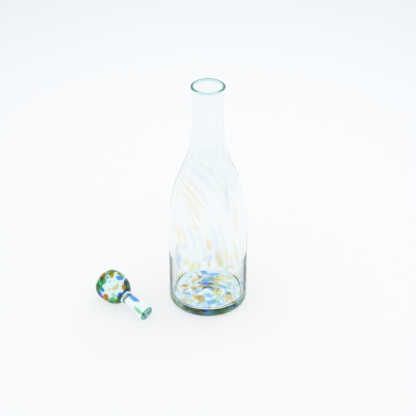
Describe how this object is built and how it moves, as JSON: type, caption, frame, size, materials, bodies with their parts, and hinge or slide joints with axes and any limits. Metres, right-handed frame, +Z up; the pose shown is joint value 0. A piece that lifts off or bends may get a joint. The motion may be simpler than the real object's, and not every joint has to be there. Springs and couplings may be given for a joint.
{
  "type": "glass bottle with stopper",
  "caption": "Hand-blown clear glass bottle with colour chips in its floor and wall, and its solid marble stopper lying beside it.",
  "frame": {"origin": "centre of the bottle's foot ring, on the surface that it stands on", "axes": "+Z up the bottle's axis; the bottle is round; the stopper lies at -X and points its peg towards +X and -Y; the picture looks along +Y"},
  "size_m": [0.1763, 0.0975, 0.2775],
  "materials": {
    "clear_glass": "clear glass with a faint sea-green cast, fire-polished",
    "blue_glass": "transparent royal blue glass",
    "sky_glass": "transparent pale blue glass",
    "amber_glass": "transparent amber glass",
    "green_glass": "transparent green glass",
    "olive_glass": "transparent olive-yellow glass"
  },
  "bodies": {
    "bottle": {"bottle_glass": "clear_glass", "floor_chips_blue": "blue_glass", "floor_chips_sky": "sky_glass", "floor_chips_amber": "amber_glass", "floor_chips_green": "green_glass", "floor_chips_olive": "olive_glass", "wall_streaks_blue": "blue_glass", "wall_streaks_sky": "sky_glass", "wall_streaks_amber": "amber_glass", "wall_streaks_green": "green_glass", "wall_streaks_olive": "olive_glass"},
    "stopper": {"stopper_glass": "clear_glass", "knob_chips_blue": "blue_glass", "knob_chips_amber": "amber_glass", "knob_chips_green": "green_glass", "knob_chips_olive": "olive_glass", "peg_chip_blue": "blue_glass", "peg_chip_green": "green_glass"}
  },
  "joints": [
    {"name": "stopper_lift", "type": "slide", "parent": "bottle", "child": "stopper", "axis": [0, 0, 1], "range_m": [0, 0.3]}
  ]
}
